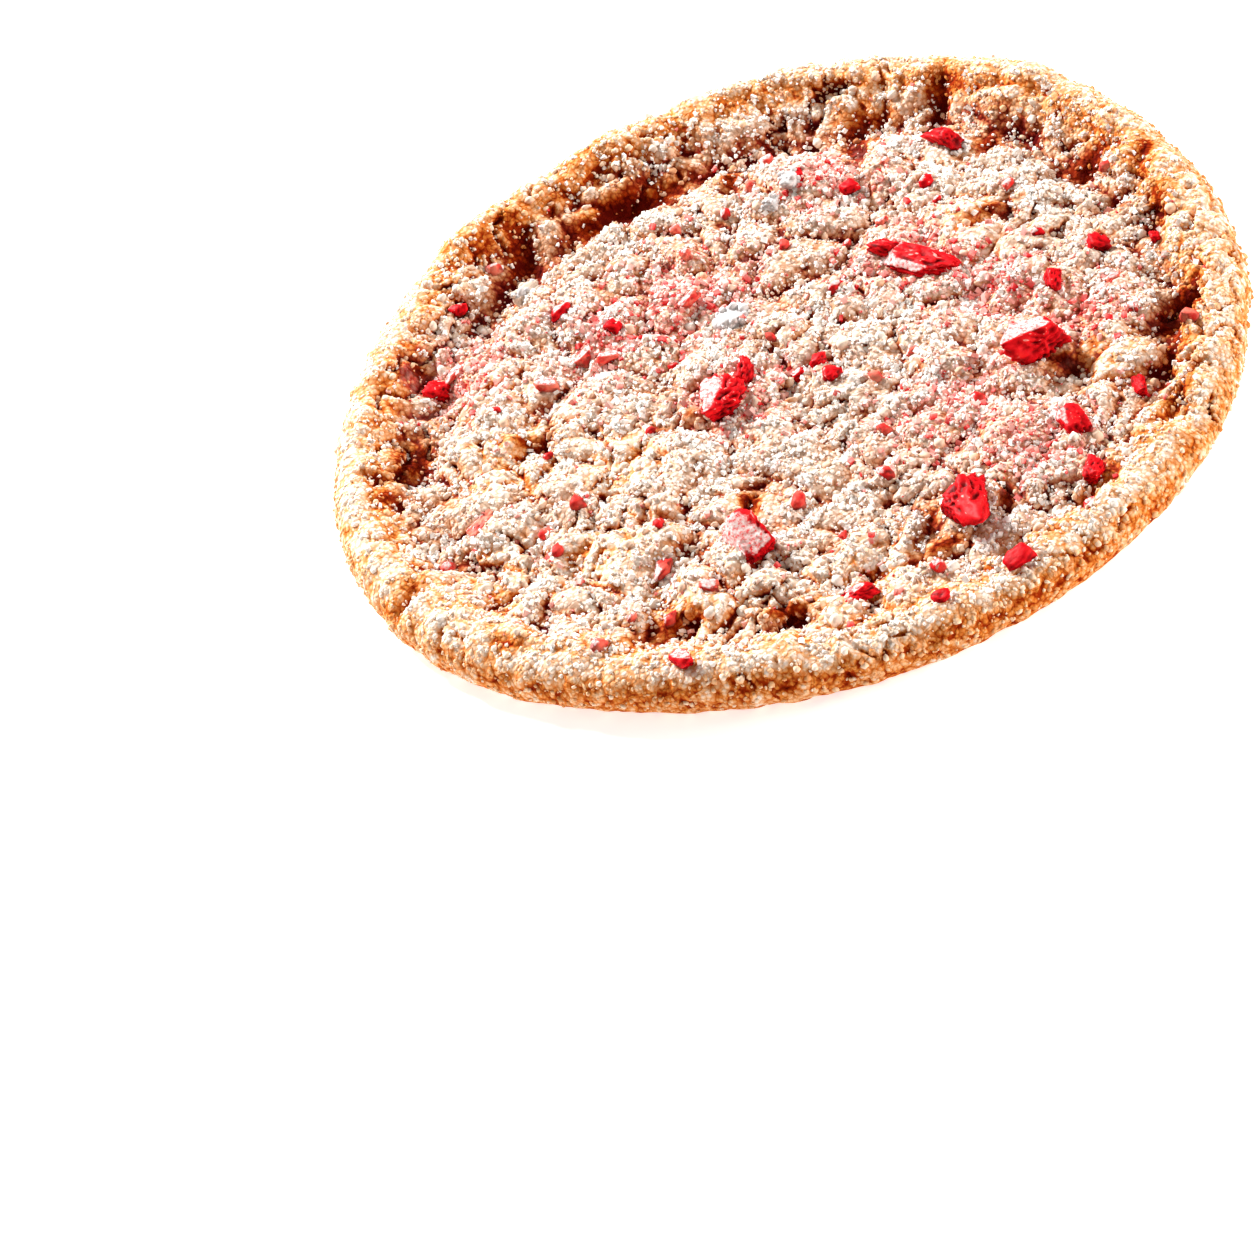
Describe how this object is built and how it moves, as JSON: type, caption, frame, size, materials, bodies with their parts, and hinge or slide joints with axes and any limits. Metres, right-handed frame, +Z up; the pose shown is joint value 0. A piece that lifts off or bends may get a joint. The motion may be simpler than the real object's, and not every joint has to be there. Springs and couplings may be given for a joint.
{
  "type": "thin crisp cookie",
  "caption": "Thin, crisp, round cookie with a raised golden rim, cragged crumb, sugar grains and freeze-dried red berry bits fused to its top; it lies flat on its base.",
  "frame": {"origin": "middle of the flat base, on the surface the cookie lies on", "axes": "+Z up through the thickness; +Y towards the side where the rim is highest and the trough inside it deepest"},
  "size_m": [0.0658, 0.0658, 0.0056],
  "materials": {
    "crumb": "baked, rough and porous, golden at the rim and pale inside it",
    "berry": "freeze-dried fruit, wrinkled and satin, with dusty pink faces",
    "sugar": "fine dry white and cream grains"
  },
  "bodies": {
    "root": {"cookie": "crumb"}
  },
  "joints": []
}
